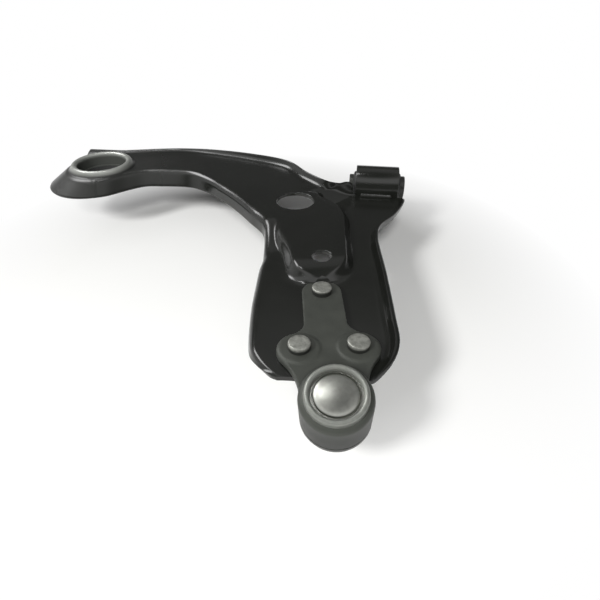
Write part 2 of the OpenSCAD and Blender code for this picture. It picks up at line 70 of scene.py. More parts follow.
# %% [markdown]
# ## Small tools
# Sizes are easier to read in millimetres, so the shapes below are written in them and scaled once, when the
# mesh is made. A few helpers do most of the modelling: one spins a profile round an axis, as a lathe does,
# one stretches an outline into a prism, one rounds the corners of an outline, and one adds or cuts one
# closed shape with another.

# %% Meshes from points in millimetres
MM = 0.001
SAME_POINT = 1e-6             # what is closer than this is one point


def new_object(name, data):
    obj = bpy.data.objects.new(name, data)
    bpy.context.scene.collection.objects.link(obj)
    return obj


def dress(obj, material=None, sharp=35):
    """Merges doubles, points the faces outwards and shades smooth up to an edge angle in degrees."""
    shape = bmesh.new()
    shape.from_mesh(obj.data)
    bmesh.ops.remove_doubles(shape, verts=shape.verts, dist=SAME_POINT)
    bmesh.ops.recalc_face_normals(shape, faces=shape.faces)
    shape.to_mesh(obj.data)
    shape.free()
    if material:
        obj.data.materials.clear()
        obj.data.materials.append(material)
    obj.data.shade_smooth()
    obj.data.set_sharp_from_angle(angle=math.radians(sharp))
    return obj


def from_points(name, points, faces, material=None, sharp=35):
    mesh = bpy.data.meshes.new(name)
    mesh.from_pydata([Vector(p) * MM for p in points], [], faces)
    return dress(new_object(name, mesh), material, sharp)


print("meshes are written in mm and scaled by", MM)

# %% Outlines


def arc(at, r, a0, a1, steps):
    """Points along an arc in a plane, from angle a0 to a1 in degrees."""
    angles = np.radians(np.linspace(a0, a1, steps + 1))
    return [(at[0] + r * math.cos(a), at[1] + r * math.sin(a)) for a in angles]


def round_corners(corners, steps=5):
    """Closed outline from (x, y, radius) corners, with an arc at each corner that has a radius."""
    out = []
    for i, (x, y, r) in enumerate(corners):
        if not r:
            out.append((x, y))
            continue
        here = Vector((x, y))
        back = Vector(corners[i - 1][:2]) - here
        on = Vector(corners[(i + 1) % len(corners)][:2]) - here
        half = back.angle(on) / 2
        leg = min(r / math.tan(half), 0.49 * back.length, 0.49 * on.length)
        r = leg * math.tan(half)
        centre = here + (back.normalized() + on.normalized()).normalized() * r / math.sin(half)
        start = here + back.normalized() * leg - centre
        end = here + on.normalized() * leg - centre
        a0 = math.atan2(start.y, start.x)
        turn = (math.atan2(end.y, end.x) - a0 + math.pi) % (2 * math.pi) - math.pi
        out += arc(centre, r, math.degrees(a0), math.degrees(a0 + turn), steps)
    return out


print("a quarter circle in two steps:", [(round(x, 2), round(y, 2)) for x, y in arc((0, 0), 1, 0, 90, 2)])

# %% Lathe shapes and prisms


def lathe(name, profile, place=None, material=None, turns=96, sharp=35):
    """Spins a closed profile of (radius, height) points round the Z axis of a place."""
    place = place or Matrix.Identity(4)
    points, faces, rings = [], [], []
    for r, h in profile:
        if r < SAME_POINT:
            rings.append([len(points)] * turns)
            points.append((0, 0, h))
        else:
            rings.append(range(len(points), len(points) + turns))
            points += [(r * math.cos(t), r * math.sin(t), h)
                       for t in np.linspace(0, 2 * math.pi, turns, endpoint=False)]
    for low, high in zip(rings, rings[1:] + rings[:1]):
        for k in range(turns):
            face = list(dict.fromkeys([low[k], low[(k + 1) % turns], high[(k + 1) % turns], high[k]]))
            if len(face) > 2:
                faces.append(face)
    return from_points(name, [place @ Vector(p) for p in points], faces, material, sharp)


def plug(r, reach, place, turns=96):
    """A plain round cutter that reaches as far to each side of its place."""
    return lathe("plug", [(0, -reach), (r, -reach), (r, reach), (0, reach)], place, turns=turns)


def prism(name, outline, low, high, place):
    """Stretches a closed outline from one height to another."""
    n = len(outline)
    points = [place @ Vector((x, y, z)) for z in (low, high) for x, y in outline]
    sides = [(i, (i + 1) % n, n + (i + 1) % n, n + i) for i in range(n)]
    return from_points(name, points, sides + [tuple(range(n))[::-1], tuple(range(n, 2 * n))])


print("lathe, plug and prism make closed shapes")

# %% Join and cut


def bake(obj):
    """Turns what the modifiers make of a piece into its plain mesh."""
    bpy.context.view_layer.update()
    result = bpy.data.meshes.new_from_object(obj.evaluated_get(bpy.context.evaluated_depsgraph_get()))
    obj.modifiers.clear()
    obj.data = result
    return obj


def combine(obj, other, operation):
    """Joins another closed shape to a piece, keeps what both share, or cuts the piece with it."""
    step = obj.modifiers.new("combine", "BOOLEAN")
    step.operation = operation
    step.object = other
    step.solver = "MANIFOLD"
    bake(obj)
    bpy.data.objects.remove(other)
    return obj


def cut(obj, cutter):
    return combine(obj, cutter, "DIFFERENCE")


print("tools ready")

# %% [markdown]
# ## Frames of the arm
# The arm has four places of its own: the front bush at the origin, the rear bush 314 mm behind it, the
# blade that runs out to the ball joint, and the ball stud, which leans. Each becomes a matrix.

# %% Places
BUSH_SPAN = 314
BALL_JOINT = Vector((-26, -302, 0))
BALL_Z = -6
BALL_SHIFT = 0.8
BLADE_TURN = 7.1
JOINT_TURN = 2.2
STUD_LEAN = 13.8
STUD_SIDE = 3

at_rear = Matrix.Translation((-BUSH_SPAN, 0, 0))
at_blade = Matrix.Translation(BALL_JOINT) @ Matrix.Rotation(math.radians(BLADE_TURN), 4, "Z")
at_joint = at_blade @ Matrix.Rotation(math.radians(JOINT_TURN), 4, "Z")
at_stud = (at_joint @ Matrix.Translation((BALL_SHIFT, 0, BALL_Z))
           @ Matrix.Rotation(math.radians(-STUD_SIDE), 4, "Y")
           @ Matrix.Rotation(math.radians(STUD_LEAN), 4, "X"))
along_x = Matrix.Rotation(math.radians(90), 4, "Y")
print("ball centre in mm:", [round(c, 2) for c in at_stud.to_translation()])

# %% [markdown]
# ## Finishes
# A material is a small graph of nodes. One helper adds a node, sets it and links its inputs, so each graph
# reads from top to bottom. Inputs go by name, or as a list in the order of the node's sockets: a Map Range
# takes its value, the range it comes from and the range it goes to, a Mix its factor and two colours, and a
# Noise Texture its place, scale, detail and roughness. Colours are written as sRGB, the way a paint card
# gives them, and turned linear here. A noise of scale s has features about 1/s metres wide, so a size in mm
# gives 1000 / size.

# %% Node helper and colours
EASED = {"interpolation_type": "SMOOTHSTEP"}


def linear(code):
    """A colour like #808080 as linear RGBA."""
    parts = [int(code[i:i + 2], 16) / 255 for i in (1, 3, 5)]
    return tuple(c / 12.92 if c <= 0.04045 else ((c + 0.055) / 1.055) ** 2.4 for c in parts) + (1.0,)


def per_mm(size):
    return 1000 / size


def add(tree, kind, inputs=(), **settings):
    """Adds a node with its settings. A kind that names no family of nodes is a shader's.

    An input is a value, a colour code, a socket to link, or a node whose first output is linked.
    """
    node = tree.nodes.new(kind if "Node" in kind else "ShaderNode" + kind)
    for name, value in settings.items():
        setattr(node, name, value)
    if not isinstance(inputs, dict):
        in_use = [i for i, socket in enumerate(node.inputs) if not socket.is_unavailable]
        inputs = dict(zip(in_use, inputs))
    for name, value in inputs.items():
        if isinstance(value, bpy.types.Node):
            value = next(socket for socket in value.outputs if not socket.is_unavailable)
        if isinstance(value, bpy.types.NodeSocket):
            tree.links.new(value, node.inputs[name])
        else:
            node.inputs[name].default_value = linear(value) if isinstance(value, str) else value
    return node


def new_material(name):
    """An empty material, its tree of nodes, and the place in metres of the point that it colours."""
    material = bpy.data.materials.new(name)
    material.use_nodes = True
    material.node_tree.nodes.clear()
    return material, material.node_tree, add(material.node_tree, "TexCoord").outputs["Object"]


print("middle grey in linear light:", [round(c, 4) for c in linear("#808080")])

# %% [markdown]
# ### Black electrophoretic coat on the pressing
# The whole arm is dipped and baked. The coat is thin and glossy, so it shows small lamps as hard highlights
# and the pale floor as a grey sheen on the skirts, and it follows the faint waves of the drawn steel. The
# film's orange peel is about 1.5 mm wide, and its colour drifts a little where it dried thicker. Round the
# rear bush the coat is duller, and the collar there is rubbed: pressing the bush in took the gloss off its
# crest and wall and left a satin grey. The crest is painted a lighter grey still, a painted highlight.
# Distance from the bush's axis and height over the leg say where.

# %% Coat material
COLLAR_FOOT = 0.0085          # height at which the rub starts, in metres as all lengths in a material
RUB_DEPTH = 0.011             # how far the rub goes down the wall of the bore
BORE_EDGE = (0.027, 0.031)
COLLAR_EDGE = (0.036, 0.039)
DULL_EDGE = (0.055, 0.1)
RUB_FADE, CREST_HIGHLIGHT_FADE = 0.004, 0.005

coat, tree, where = new_material("gloss_electrocoat_on_pressed_steel")
local = add(tree, "Mapping", [where, at_rear.to_translation() * MM], vector_type="TEXTURE")
level = add(tree, "VectorMath", [local, (1, 1, 0)], operation="MULTIPLY")
radius = add(tree, "VectorMath", [level], operation="LENGTH")
height = add(tree, "SeparateXYZ", [local]).outputs["Z"]
inwards = add(tree, "MapRange", [radius, *BORE_EDGE, RUB_DEPTH, 0.0])
wall = add(tree, "Math", [height, inwards])
above = add(tree, "MapRange", [wall, COLLAR_FOOT, COLLAR_FOOT + RUB_FADE], **EASED)
near = add(tree, "MapRange", [radius, *COLLAR_EDGE, 1.0, 0.0])
rub = add(tree, "Math", [above, near], operation="MULTIPLY")
# the crest is painted lighter than the rest of the rubbed collar: a painted highlight
crest = add(tree, "MapRange", [height, COLLAR_FOOT, COLLAR_FOOT + CREST_HIGHLIGHT_FADE])
crest = add(tree, "Math", [crest, near], operation="MULTIPLY")
clouds = add(tree, "TexNoise", [where, per_mm(45), 3.0])
film = add(tree, "Mix", [clouds, "#10110f", "#191a17"], data_type="RGBA")
tone = add(tree, "Mix", [rub, film, "#555753"], data_type="RGBA")
tone = add(tree, "Mix", [crest, tone, "#9c9e99"], data_type="RGBA")
smears = add(tree, "TexNoise", [where, per_mm(14), 5.0, 0.65])
gloss = add(tree, "MapRange", [smears, 0.3, 0.7, 0.15, 0.21])
dull = add(tree, "MapRange", [radius, *DULL_EDGE, 1.0, 0.0])
rough = add(tree, "MapRange", [dull, 0.0, 1.0, gloss, 0.32])
metal = add(tree, "Math", [rub, 0.45], operation="MULTIPLY")
waves = add(tree, "TexNoise", [where, per_mm(28), 1.0])
drawn = add(tree, "Bump", {"Height": waves, "Strength": 0.1, "Distance": 0.0012})
peel = add(tree, "TexNoise", [where, per_mm(1.5), 2.0])
skin = add(tree, "Bump", {"Height": peel, "Strength": 0.05, "Distance": 0.00012, "Normal": drawn})
surface = add(tree, "BsdfPrincipled", {"Base Color": tone, "IOR": 1.5, "Metallic": metal, "Roughness": rough,
                                       "Normal": skin})
add(tree, "OutputMaterial", [surface])
print("made", coat.name)

# %% [markdown]
# ### Grey phosphate on the forged housing
# The ball joint is forged, shot-blasted and phosphated, which leaves a matt grey skin with fine grit and
# faint patches. The lower wall of the cup is painted darker towards the bottom, as painted shade. The grit
# is near 0.3 mm, drawn here at 0.7 mm so that it shows.

# %% Phosphate material
LOWER_WALL_SHADE = (-0.009, 0.005)

phosphate, tree, where = new_material("grey_phosphate_on_forged_steel")
patches = add(tree, "TexNoise", [where, per_mm(11), 4.0])
tone = add(tree, "Mix", [patches, "#353733", "#474944"], data_type="RGBA")
height = add(tree, "SeparateXYZ", [where]).outputs["Z"]
# painted shade: the cup is painted darker towards the bottom
painted_lower_shade = add(tree, "MapRange", [height, *LOWER_WALL_SHADE, 0.8, 0.0], **EASED)
tone = add(tree, "Mix", [painted_lower_shade, tone, "#242523"], data_type="RGBA")
grit = add(tree, "TexNoise", [where, per_mm(0.7), 2.0])
rough = add(tree, "MapRange", [patches, 0.0, 1.0, 0.42, 0.58])
blast = add(tree, "Bump", {"Height": grit, "Strength": 0.25, "Distance": 0.0002})
surface = add(tree, "BsdfPrincipled", {"Base Color": tone, "Metallic": 0.2, "IOR": 1.38, "Roughness": rough,
                                       "Normal": blast})
add(tree, "OutputMaterial", [surface])
print("made", phosphate.name)

# %% [markdown]
# ### Bare steels
# The rivets, the closing cap, the rings, the stud and the bush sleeves are bare or thinly plated steel. They
# are the same metal with another polish and tone, so one loop makes them. A plated or burnished face scatters
# part of the light, so only a share of it counts as bare metal. All carry faint blotches of 3 mm. The turned
# ones have faint rings round their own axis, 5 mm apart and so far coarser than real tool marks, because
# finer ones don't show. A rivet has the dents of the setting tool, and its flank is painted dark below the
# crown as painted shade. Height tells them apart.

# %% Steel materials
FLANK_SHADE_RAMP = (0.0054, 0.0069)
RING_SCALE = 62.5             # a ring each 5 mm, because a wave of scale 1 has one each 2 pi / 20 metres

steels = {}
for name, dark, light, bare, polish, ring_place, ring_depth in (
    ("satin_steel_rivet", "#3e3f3b", "#bfc0b8", 0.7, (0.3, 0.56), None, 0.0),
    ("polished_steel_cap", "#8a8b85", "#aeafa9", 1.0, (0.27, 0.36), at_stud, 0.00003),
    ("burnished_rolled_lip", "#6e706b", "#8e908a", 0.6, (0.34, 0.46), at_stud, 0.00005),
    ("ground_steel_stud", "#8f9089", "#aeafa8", 1.0, (0.2, 0.3), at_stud, 0.00004),
    ("black_oxide_sleeve", "#2b2c2a", "#3c3d3a", 0.6, (0.28, 0.4), along_x, 0.00006),
    ("phosphated_rear_sleeve", "#464845", "#5a5c58", 0.4, (0.42, 0.55), at_rear, 0.00006),
):
    steels[name], tree, where = new_material(name)
    blotch = add(tree, "TexNoise", [where, per_mm(3), 5.0, 0.6])
    tone = add(tree, "Mix", [blotch, dark, light], data_type="RGBA")
    rough = add(tree, "MapRange", [blotch, 0.0, 1.0, *polish])
    if ring_place:
        local = add(tree, "Mapping", [where, ring_place.to_translation() * MM, ring_place.to_euler()],
                    vector_type="TEXTURE")
        rings = add(tree, "TexWave", {"Vector": local, "Scale": RING_SCALE, "Distortion": 1.5, "Detail": 2.0,
                                      "Detail Scale": 2.0},
                    wave_type="RINGS", rings_direction="Z").outputs["Fac"]
        relief = add(tree, "Bump", {"Height": rings, "Strength": 0.4, "Distance": ring_depth})
    else:
        height = add(tree, "SeparateXYZ", [where]).outputs["Z"]
        # painted shade: a rivet's flank is painted darker than its crown
        above_flank_shade = add(tree, "MapRange", [height, *FLANK_SHADE_RAMP])
        tone = add(tree, "Mix", [above_flank_shade, "#3b3c39", tone], data_type="RGBA")
        dents = add(tree, "TexNoise", [where, per_mm(2.2), 2.0])
        relief = add(tree, "Bump", {"Height": dents, "Strength": 0.3, "Distance": 0.0003})
    surface = add(tree, "BsdfPrincipled", {"Base Color": tone, "Metallic": bare, "Roughness": rough,
                                           "Normal": relief})
    add(tree, "OutputMaterial", [surface])
print("made", sorted(steels))

# %% [markdown]
# ### Rubber and plastic
# The bushes and the dust boot are black moulded rubber: matt, with a grain near 0.4 mm, drawn at 0.8 mm, and
# a grey bloom in soft patches. The race round the ball is natural acetal, a milky and slightly shiny plastic.

# %% Rubber and acetal materials
soft = {}
for name, dark, light, polish, patch, grain, depth in (
    ("moulded_black_rubber", "#171717", "#262625", (0.55, 0.72), 9, 0.8, 0.00025),
    ("natural_acetal", "#d3cebd", "#e2decf", (0.32, 0.42), 6, 0.6, 0.00006),
):
    soft[name], tree, where = new_material(name)
    bloom = add(tree, "TexNoise", [where, per_mm(patch), 4.0])
    tone = add(tree, "Mix", [bloom, dark, light], data_type="RGBA")
    rough = add(tree, "MapRange", [bloom, 0.0, 1.0, *polish])
    pores = add(tree, "TexNoise", [where, per_mm(grain), 3.0])
    relief = add(tree, "Bump", {"Height": pores, "Strength": 0.35, "Distance": depth})
    surface = add(tree, "BsdfPrincipled", {"Base Color": tone, "IOR": 1.5, "Roughness": rough,
                                           "Normal": relief})
    add(tree, "OutputMaterial", [surface])
print("made", sorted(soft))

# %% [markdown]
# ## The pressing
# The sheet is drawn to a Z-like section: a skirt turned down along the front, a raised leg and rib, and a rim
# turned up along the inboard side. A loft suits it: a table of sections says where the sheet starts and
# ends in plan and how far each feature is developed, and a smooth curve runs through the rows.
# The solid in the frame comes from nearly the same table with fewer steps. Here the steps are fine, a few
# rows ease the rib's nose and neck, the rim curls tighter and the cut edges are round, so that the gloss coat
# reflects cleanly.

# %% Sections of the sheet
SHEET_T = 3.5
PLATE_Z = -2.5
RIB_H = 10
SKIRT_H = 15
BEND_R = 8
RIM_H = 8
RIM_RUN = 9
WALL_RUN = 9
EDGE_R = 0.9
LEG_TOP = PLATE_Z + RIB_H
STEPS = 7                     # lofted sections from one row of the table to the next

REAR, FRONT, BALL = at_rear, Matrix.Identity(4), at_blade
# frame, front end, inboard end, front flat and drop, inboard flat and drop, rim, skirt, rib, flare
SECTIONS = (
    (REAR, (8, -44.3), (-38.4, 38), 10, 0, 20, 0, 0.55, 1, 1, 6.6),
    (REAR, (9.6, -43.7), (-34.4, 39.4), 10, 0, 20, 0, 0.6, 1, 1, 6.6),
    (REAR, (15.4, -40.9), (-16, 43.5), 10, 0, 20, 0, 0.45, 1, 1, 6.8),
    (REAR, (23.6, -34.8), (5, 46.5), 10, 0, 20, 0, 0.35, 1, 1, 7),
    (REAR, (38, -19.6), (20, 50), 10, 0, 20, 0, 0.35, 1, 1, 7),
    (REAR, (53, -8.5), (50, 57.5), 10, 0, 20, 0, 0.35, 1, 1, 7),
    (REAR, (70, -5.5), (79, 61), 10, 0, 20, 0, 0.4, 1, 1, 7),
    (REAR, (104, -5.5), (114, 57), 10, 0, 20, 0, 0.6, 1, 1, 6),
    (REAR, (128, -18.8), (164, 45), 10, 0, 20, 0, 0.8, 1, 1, 3),
    (FRONT, (-164, -39), (-104, 27), 10, 0, 20, 0, 0.9, 1, 1, 1),
    (FRONT, (-147.5, -55.5), (-78, -3), 10, 0, 20, 0, 0.9, 1, 1, 1),
    (FRONT, (-134.5, -70.5), (-55, -23.8), 10, 0, 18, 0, 0.9, 1, 1, 1),
    (FRONT, (-122, -86), (-41, -22), 10, 0, 20, 0.3, 0.88, 1, 1, 1),
    (FRONT, (-114.5, -94.5), (-30, -21), 10, 0, 30, 0.65, 1.4, 1, 1, 1),
    (FRONT, (-109, -101.5), (-19, -19.5), 9, 0, 38, 0.95, 0, 1, 1, 1),
    (FRONT, (-106, -106), (-10, -19), 8.6, 0, 45, 1, 0, 1, 1, 1),
    (FRONT, (-103, -113), (4, -19), 8.4, 0.15, 54, 1, 0, 1, 1, 1),
    (FRONT, (-101, -124), (19, -20), 8.8, 0.5, 66, 1, 0, 1, 1, 1),
    (BALL, (-52.6, 172), (84, 253), 11, 0.85, 65, 1, 1, 1, 1, 1),
    (BALL, (-52.8, 161), (70, 224), 14.5, 1, 48, 1, 1, 1, 1, 1),
    (BALL, (-53.6, 153), (52, 201), 17.5, 1, 28, 1, 1, 1, 1, 1),
    (BALL, (-54.8, 146), (46.6, 180), 20, 1, 21, 1, 1, 1, 1, 1),
    (BALL, (-55.4, 139), (45.5, 160), 21.5, 1, 20, 1, 1, 1, 1, 1),
    (BALL, (-55.8, 131), (45.5, 147), 23.5, 1, 20.5, 1, 1, 1, 0.98, 1),
    (BALL, (-56.2, 122), (45.5, 137), 26.5, 1, 23, 1, 1, 1, 0.82, 1),
    (BALL, (-56.6, 114), (45.5, 129), 32, 1, 27, 1, 1, 1, 0.42, 1),
    (BALL, (-56.9, 107), (45.4, 122), 36, 1, 30, 1, 1, 1, 0, 1),
    (BALL, (-57.3, 94), (44.7, 100), 28, 1, 28, 1, 1, 1, 0, 1),
    (BALL, (-56.6, 70), (43.6, 70), 28, 1, 28, 1, 1, 0.9, 0, 1),
    (BALL, (-54.1, 48), (42.6, 47), 28, 1, 28, 1, 0.9, 0.6, 0, 1),
    (BALL, (-48.2, 34.6), (37.2, 32), 22, 1, 22, 1, 0.5, 0.3, 0, 1),
    (BALL, (-39.7, 24.1), (26.8, 18.8), 17, 1, 17, 1, 0.1, 0.06, 0, 1),
    (BALL, (-34.6, 20.9), (22.4, 16.8), 14, 1, 14, 1, 0.02, 0.02, 0, 1),
)
rows = []
for place, front_end, inboard_end, *rest in SECTIONS:
    front_at = place @ Vector((*front_end, 0))
    inboard_at = place @ Vector((*inboard_end, 0))
    rows.append(np.array([*front_at.xy, *inboard_at.xy, *rest]))


def glide(a, b, c, d, u):
    """What lies at u between b and c on a smooth curve through a, b, c and d."""
    square, cube = 2 * a - 5 * b + 4 * c - d, 3 * b - a - 3 * c + d
    return 0.5 * (2 * b + (c - a) * u + square * u ** 2 + cube * u ** 3)


def between(i, u):
    """A smooth blend of four neighbouring rows, which runs through rows i and i + 1."""
    return glide(*(rows[max(0, min(len(rows) - 1, i + k))] for k in (-1, 0, 1, 2)), u)


fine_rows = [between(i, k / STEPS) for i in range(len(rows) - 1) for k in range(STEPS)] + [rows[-1]]
print(len(rows), "sections chosen,", len(fine_rows), "lofted")

# %% The sheet's thickness and its round edges


def ease(u):
    return u * u * (3 - 2 * u)


def line(a, b, steps):
    """Points from a up to, but without, b."""
    return [(a[0] + (b[0] - a[0]) * k / steps, a[1] + (b[1] - a[1]) * k / steps) for k in range(steps)]


def offset(skin_points, depth):
    """The same line moved to the underside of the sheet, square to itself."""
    p = np.array(skin_points)
    run = np.vstack([p[1:2] - p[:1], p[2:] - p[:-2], p[-1:] - p[-2:-1]])
    square = np.stack([run[:, 1], -run[:, 0]], 1) / np.linalg.norm(run, axis=1)[:, None]
    return p + depth * square


def round_edge(skin_points, under_points, end):
    """Six points that round the cut edge of the sheet at one end of a section."""
    p, q, inner = skin_points[end], under_points[end], skin_points[1 if end == 0 else -2]
    out = EDGE_R * (p - inner) / np.linalg.norm(p - inner)
    down = EDGE_R * (q - p) / np.linalg.norm(q - p)
    corner = 0.3
    return [p - out, p - corner * out + corner * down, p + down,
            q - down, q - corner * out - corner * down, q - out]


def closed_section(skin_points):
    """Upper skin, rounded inboard edge, lower skin and rounded front edge as one closed ring."""
    p = np.array(skin_points)
    q = offset(p, SHEET_T)
    near = round_edge(p, q, 0)
    far = round_edge(p, q, -1)
    return near[2::-1] + list(p[1:-1]) + far + list(q[-2:0:-1]) + near[:2:-1]


print("points round a flat strip:", len(closed_section(line((0, 0), (60, 0), 6))))

# %% One section, and the loft over all
LEAST_BEND = 1.2 * SHEET_T
CURL = 3.2


def upper_skin(row):
    """Skirt, bend, front flat, rib, inboard flat and rim of one section, as (run, height) points."""
    front_flat, front_drop, in_flat, in_drop, rim, skirt, rib, flare = row[4:]
    width = math.hypot(row[2] - row[0], row[3] - row[1])
    rise = RIB_H * max(0, rib)
    top = PLATE_Z + rise
    front_z = top - rise * front_drop
    in_z = top - rise * in_drop
    turn_up = RIM_H * max(0, rim)
    bend = max(LEAST_BEND, BEND_R * skirt)
    low = (-flare, front_z - SKIRT_H * skirt)
    hub = (bend, front_z - bend)
    away = math.hypot(low[0] - hub[0], low[1] - hub[1])
    towards = math.degrees(math.atan2(low[1] - hub[1], low[0] - hub[0])) % 360
    over = arc(hub, bend, towards - math.degrees(math.acos(bend / away)), 90, 12)
    wall = WALL_RUN * (1 + 2 * (1 - min(1, max(0, rib))))
    up = [(front_flat + wall * u, front_z + (top - front_z) * ease(u)) for u in np.linspace(0, 1, 13)]
    fall = width - in_flat - wall
    down = [(fall + wall * u, top - (top - in_z) * ease(u)) for u in np.linspace(0, 1, 13)]
    curl = [(width - RIM_RUN * (1 - u), in_z + turn_up * u ** CURL) for u in np.linspace(0, 1, 10)]
    return (line(low, over[0], 6) + over + line(over[-1], up[0], 3)[1:]
            + up + line(up[-1], down[0], 8)[1:] + down + line(down[-1], curl[0], 6)[1:] + curl)


def skin_over(name, rings):
    """A closed solid over rings with the same number of points, capped with strips at both ends."""
    n = len(rings[0])
    faces = [(j * n + i, j * n + (i + 1) % n, (j + 1) * n + (i + 1) % n, (j + 1) * n + i)
             for j in range(len(rings) - 1) for i in range(n)]
    for first in (0, (len(rings) - 1) * n):
        faces += [(first + i, first + i + 1, first + n - 2 - i, first + n - 1 - i) for i in range(n // 2 - 1)]
    return from_points(name, [p for ring in rings for p in ring], faces)


rings = []
for row in fine_rows:
    run = (row[2:4] - row[:2]) / np.linalg.norm(row[2:4] - row[:2])
    rings.append([(*(row[:2] + run * t), z) for t, z in closed_section(upper_skin(row))])
pressing = skin_over("arm_sheet", rings)
print("sheet:", len(pressing.data.polygons), "faces")

# %% [markdown]
# ## The drawn rear end
# Round the rear bush the sheet is drawn up into a collar and flares down to a broad tip. The collar is a
# lathe shape. The flaring skirt is a fan of sections round the same axis, whose flare grows towards the tip.
# The inboard rim ends beside the collar in a rounded corner, which a cutter trims. Then the parts are joined
# to the loft, and the holes are cut last. A punched hole has a drawn-in upper edge, so its cutter flares.

# %% Collar and flaring skirt
REAR_BUSH_R = 26.557
CREST_Z = LEG_TOP + 6
COLLAR_LOW = LEG_TOP - SHEET_T - 18
LIP_MID = REAR_BUSH_R + SHEET_T
# the collar's foot, as steps out from the lip and up from the leg
FOOT = ((3.6, 3.3), (4.2, 2.3), (4.9, 1.4), (5.8, 0.55), (6.9, -0.2), (8.2, -1.4))
PADDLE_R = 45
ROUND_BEND = 10
PADDLE_FROM, PADDLE_SWEEP = 132, 152
LEG_FLARE, TIP_FLARE = 6, 9.5
TIP_SPAN = 0.96
EAR_AT, EAR_R = (-29.7, 34.7), 6
FAN_ROWS = 90
FINE = 160                    # turns of the large round shapes

fan = []
for angle in np.linspace(PADDLE_FROM - 1, PADDLE_FROM + PADDLE_SWEEP + 1, FAN_ROWS):
    u = min(1, max(0, (angle - PADDLE_FROM) / PADDLE_SWEEP))
    tip = math.sin(math.pi * TIP_SPAN * u) ** 1.5
    bend = ROUND_BEND - 2 * u ** 6
    over = arc((PADDLE_R - bend, LEG_TOP - bend), bend, 90, 35 + 18 * tip, 14)
    free = (PADDLE_R + LEG_FLARE + TIP_FLARE * tip, LEG_TOP - SKIRT_H)
    outside = line(free, over[-1], 10) + over[::-1] + line(over[0], (LIP_MID + 1, LEG_TOP), 3)[1:]
    radial = Vector((math.cos(math.radians(angle)), math.sin(math.radians(angle)), 0))
    section = closed_section([(-r, z) for r, z in outside])
    fan.append([at_rear @ Vector((radial.x * -r, radial.y * -r, z)) for r, z in section])
round_end = skin_over("round_end", fan)
collar = lathe("collar", [(REAR_BUSH_R, COLLAR_LOW)]
               + arc((LIP_MID, CREST_Z - SHEET_T), SHEET_T, 180, 35, 20)
               + [(LIP_MID + out, LEG_TOP + up) for out, up in FOOT]
               + [(LIP_MID + 8, LEG_TOP - 2.4), (LIP_MID + 1.5, LEG_TOP - SHEET_T + 0.2),
                  (LIP_MID, LEG_TOP - SHEET_T - 1.5), (LIP_MID, COLLAR_LOW)], at_rear, turns=FINE)
corner = arc(EAR_AT, EAR_R, 108, 210, 12) + [(-50, 30), (-50, 55), (-33, 55)]
cut(pressing, plug(LIP_MID, 40, at_rear, FINE))
cut(pressing, prism("corner", corner, LEG_TOP - SHEET_T - 0.4, 40, at_rear))
combine(pressing, round_end, "UNION")
combine(pressing, collar, "UNION")
print("with its rear end:", len(pressing.data.polygons), "faces")

# %% Holes and clearances
TUBE_R = 21.5
HOUSING_R = 22.25
LARGE_HOLE = (-25, 246), 18.5
SMALL_HOLE = (-2.5, 144), 8.2
DRAWN_IN = 1
RIVET_TAIL = (0, 101.3)
RIVET_PAIR = ((-19.2, 41.3), (19.2, 41.3))
RIVET_HOLE_R = 5.03
rivet_places = [at_joint @ Matrix.Translation((*at, 0)) for at in (RIVET_TAIL, *RIVET_PAIR)]


def punched(r, top):
    """A cutter for a hole whose upper edge is drawn in."""
    flare = arc((r + DRAWN_IN, top - DRAWN_IN), DRAWN_IN, 180, 90, 6)
    return [(0, -60), (r, -60)] + flare + [(r + DRAWN_IN, top + 40), (0, top + 40)]


for at, r in (LARGE_HOLE, SMALL_HOLE):
    place = at_blade @ Matrix.Translation((*at, 0))
    cut(pressing, lathe("punch", punched(r, LEG_TOP), place))
for place in rivet_places:
    cut(pressing, plug(RIVET_HOLE_R, 40, place, 48))
cut(pressing, plug(TUBE_R, 59, along_x, FINE))
cut(pressing, plug(HOUSING_R + 1, 60, at_stud))
dress(pressing, coat, 32)
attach(pressing, "arm")
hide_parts("arm_pressing")
print("finished sheet:", len(pressing.data.polygons), "faces")

# %% [markdown]
# ## The front bush
# A tube is welded across the end of the sheet, and a rubber bush is pressed into it: a thin outer sleeve,
# rubber, and a thick inner sleeve that the bolt clamps. All are lathe shapes with small rounds, because a
# sharp edge catches no light. The rubber bulges at its ends in a moulded bead.

# %% Tube, sleeves and rubber
TUBE_HALF = 22.5
SLEEVE_HALF = 29.5
TUBE = (18.5, TUBE_R)         # bore and outside radius, as for the other pipes
OUTER_SLEEVE = (16.87, 18.47)
INNER_SLEEVE = (6.1, 11.97)
ROUND = 128                   # turns of the middling round shapes


def pipe(name, r_in, r_out, low, high, place, material, round_r):
    outline = [(r_in, low, round_r), (r_out, low, round_r), (r_out, high, round_r), (r_in, high, round_r)]
    return lathe(name, round_corners(outline, 3), place, material, turns=ROUND)


